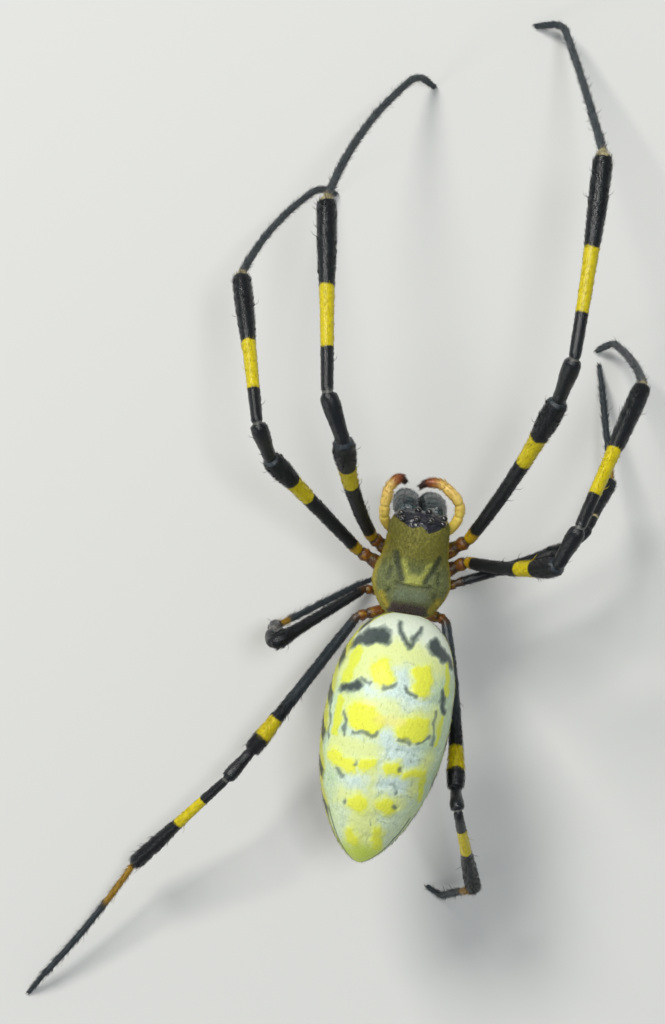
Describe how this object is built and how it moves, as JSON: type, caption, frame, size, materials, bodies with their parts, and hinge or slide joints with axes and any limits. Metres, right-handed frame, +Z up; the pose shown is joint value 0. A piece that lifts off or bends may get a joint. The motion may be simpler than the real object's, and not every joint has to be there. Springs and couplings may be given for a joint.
{
  "type": "golden silk orb weaver spider model",
  "caption": "Life-size adult female golden silk orb weaver standing with long banded legs, long front legs reaching ahead and a patterned oval abdomen.",
  "frame": {"origin": "on the floor, below the middle of the box that holds the whole animal", "axes": "+Y the way the spider faces, +X its right side, +Z up"},
  "size_m": [0.0344, 0.071, 0.0224],
  "materials": {
    "carapace": "olive brown with short silvery gold hairs and yellow edges",
    "underside": "dull dark brown",
    "abdomen": "smooth satin skin, cream with yellow spots and blue grey bands",
    "jaw": "glossy black",
    "fang": "glossy dark red brown",
    "palp": "amber, dark towards the tip",
    "eye": "polished black",
    "coxa": "red brown",
    "leg": "glossy black with yellow bands",
    "foot": "slate grey with fine hairs"
  },
  "bodies": {
    "root": {"eye_front_middle_left": "eye", "eye_front_middle_right": "eye", "eye_rear_middle_left": "eye", "eye_rear_middle_right": "eye", "eye_front_side_left": "eye", "eye_front_side_right": "eye", "eye_rear_side_left": "eye", "eye_rear_side_right": "eye", "carapace": "carapace", "sternum": "underside", "pedicel": "underside", "abdomen": "abdomen", "spinnerets": "underside", "chelicera_left": "jaw", "fang_left": "fang", "palp_left": "palp", "chelicera_right": "jaw", "fang_right": "fang", "palp_right": "palp", "leg_left_1_coxa": "coxa", "leg_left_1_femur": "leg", "leg_left_1_patella": "leg", "leg_left_1_tibia": "leg", "leg_left_1_metatarsus": "foot", "leg_left_2_coxa": "coxa", "leg_left_2_femur": "leg", "leg_left_2_patella": "leg", "leg_left_2_tibia": "leg", "leg_left_2_metatarsus": "foot", "leg_left_3_coxa": "coxa", "leg_left_3_femur": "leg", "leg_left_3_patella": "leg", "leg_left_3_tibia": "leg", "leg_left_3_metatarsus": "foot", "leg_left_4_coxa": "coxa", "leg_left_4_femur": "leg", "leg_left_4_patella": "leg", "leg_left_4_tibia": "leg", "leg_left_4_metatarsus": "foot", "leg_right_1_coxa": "coxa", "leg_right_1_femur": "leg", "leg_right_1_patella": "leg", "leg_right_1_tibia": "leg", "leg_right_1_metatarsus": "foot", "leg_right_2_coxa": "coxa", "leg_right_2_femur": "leg", "leg_right_2_patella": "leg", "leg_right_2_tibia": "leg", "leg_right_2_metatarsus": "foot", "leg_right_3_coxa": "coxa", "leg_right_3_femur": "leg", "leg_right_3_patella": "leg", "leg_right_3_tibia": "leg", "leg_right_3_metatarsus": "foot", "leg_right_4_coxa": "coxa", "leg_right_4_femur": "leg", "leg_right_4_patella": "leg", "leg_right_4_tibia": "leg", "leg_right_4_metatarsus": "foot"}
  },
  "joints": []
}
